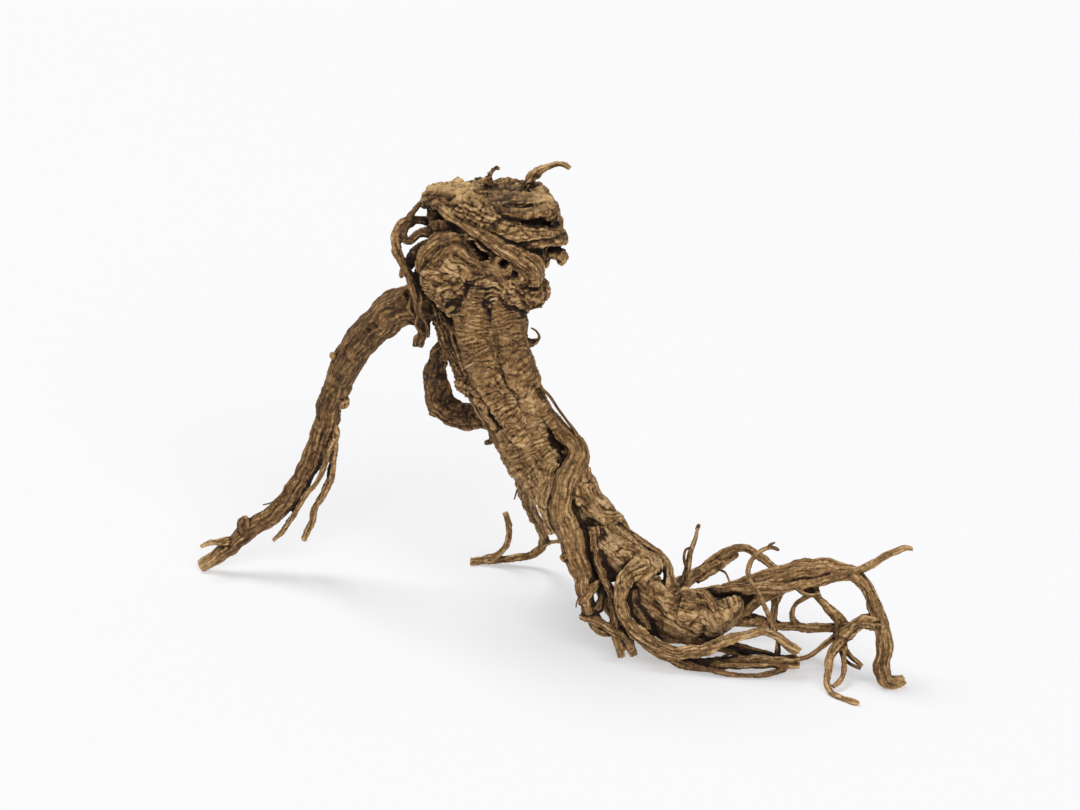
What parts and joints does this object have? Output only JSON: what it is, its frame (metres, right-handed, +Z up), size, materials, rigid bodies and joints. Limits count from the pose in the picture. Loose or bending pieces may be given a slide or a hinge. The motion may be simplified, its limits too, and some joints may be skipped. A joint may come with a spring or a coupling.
{
  "type": "dry root",
  "caption": "Dried woody root with a knotted crown, a leaning wrinkled taproot, one long arching side root and a tangle of rootlets, standing on its root tips.",
  "frame": {"origin": "middle of the root's outline on the surface that it stands on", "axes": "+Z up; +X to the right, along the spread of the roots, from the tip of the long side root to the tangle; -Y towards the viewer"},
  "size_m": [0.261, 0.1384, 0.1677],
  "materials": {
    "bark": "dry, wrinkled, matt"
  },
  "bodies": {
    "root": {"root": "bark"}
  },
  "joints": []
}
